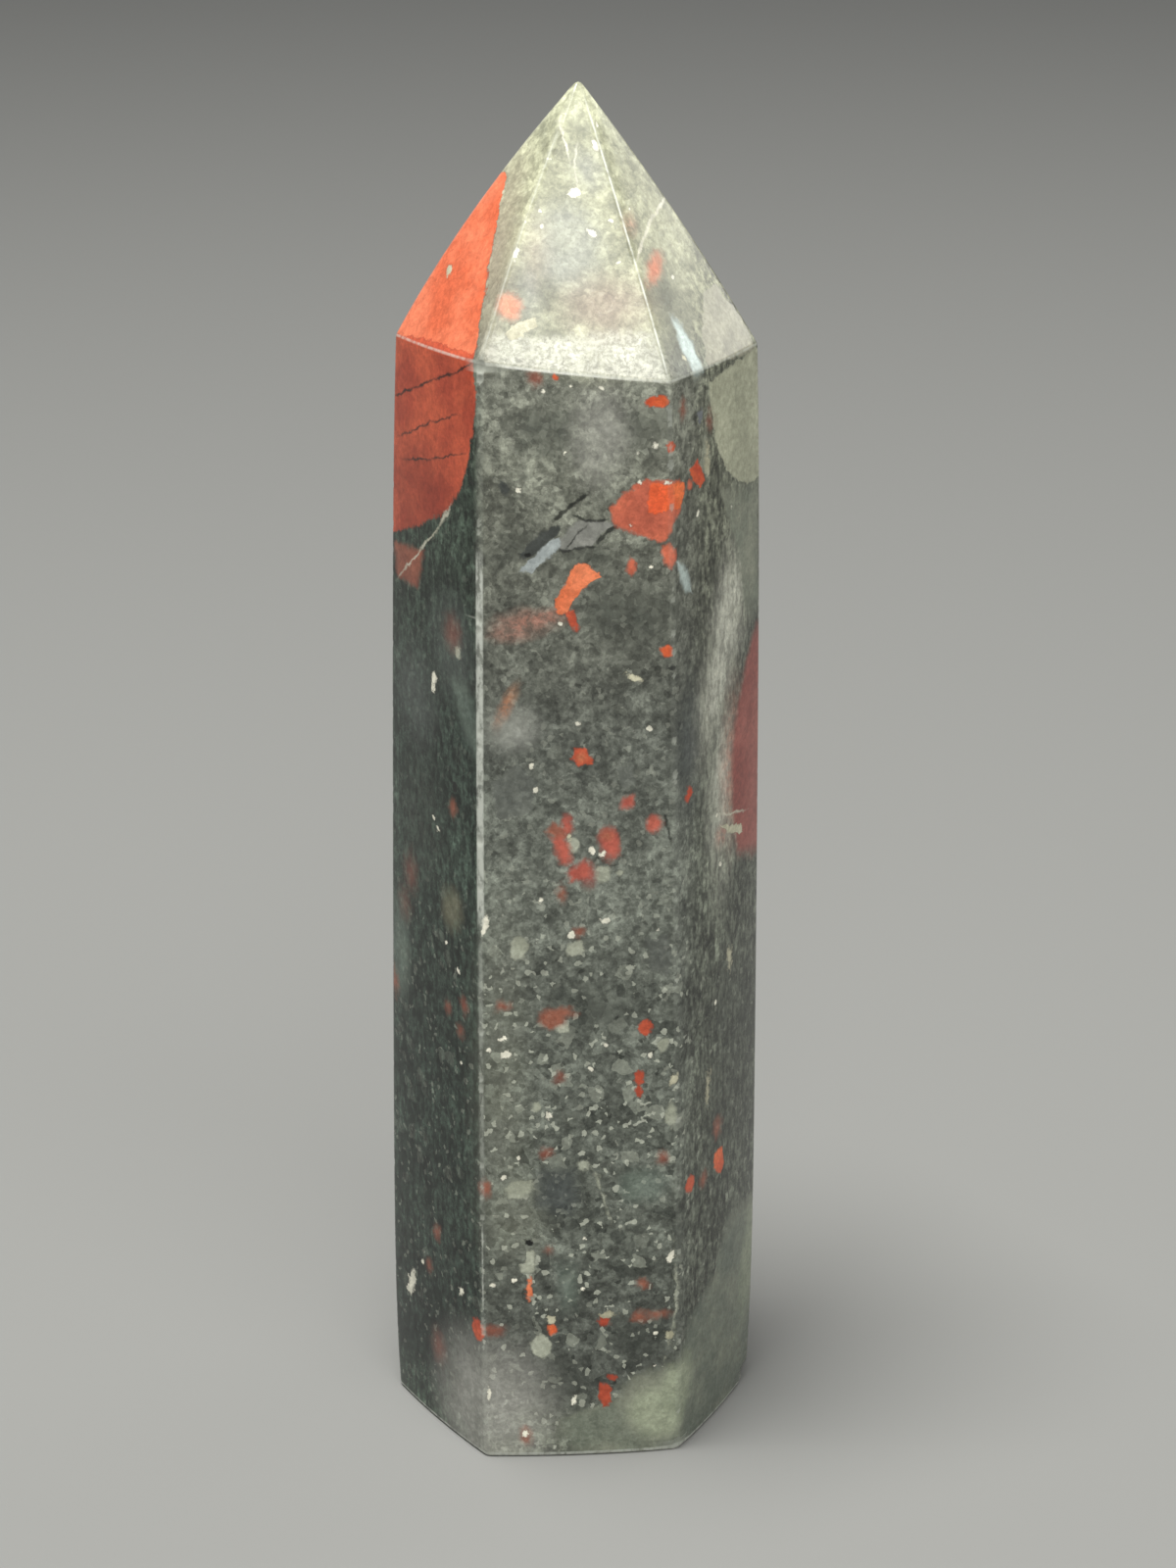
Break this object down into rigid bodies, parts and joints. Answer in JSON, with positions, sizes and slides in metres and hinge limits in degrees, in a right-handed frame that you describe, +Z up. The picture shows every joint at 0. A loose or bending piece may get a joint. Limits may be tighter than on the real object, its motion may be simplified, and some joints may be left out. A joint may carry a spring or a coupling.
{
  "type": "bloodstone tower",
  "caption": "Polished stone tower: a six-sided column with a six-sided point and a flat foot, in dark green-grey bloodstone with red spots.",
  "frame": {"origin": "centre of the outline, on the flat foot", "axes": "+Z up along the column to the tip, -Y towards the front face, +X to the right of the front face"},
  "size_m": [0.025, 0.0216, 0.092],
  "materials": {
    "bloodstone": "polished dark green-grey bloodstone with red, cream and grey clasts"
  },
  "bodies": {
    "root": {"tower": "bloodstone"}
  },
  "joints": []
}
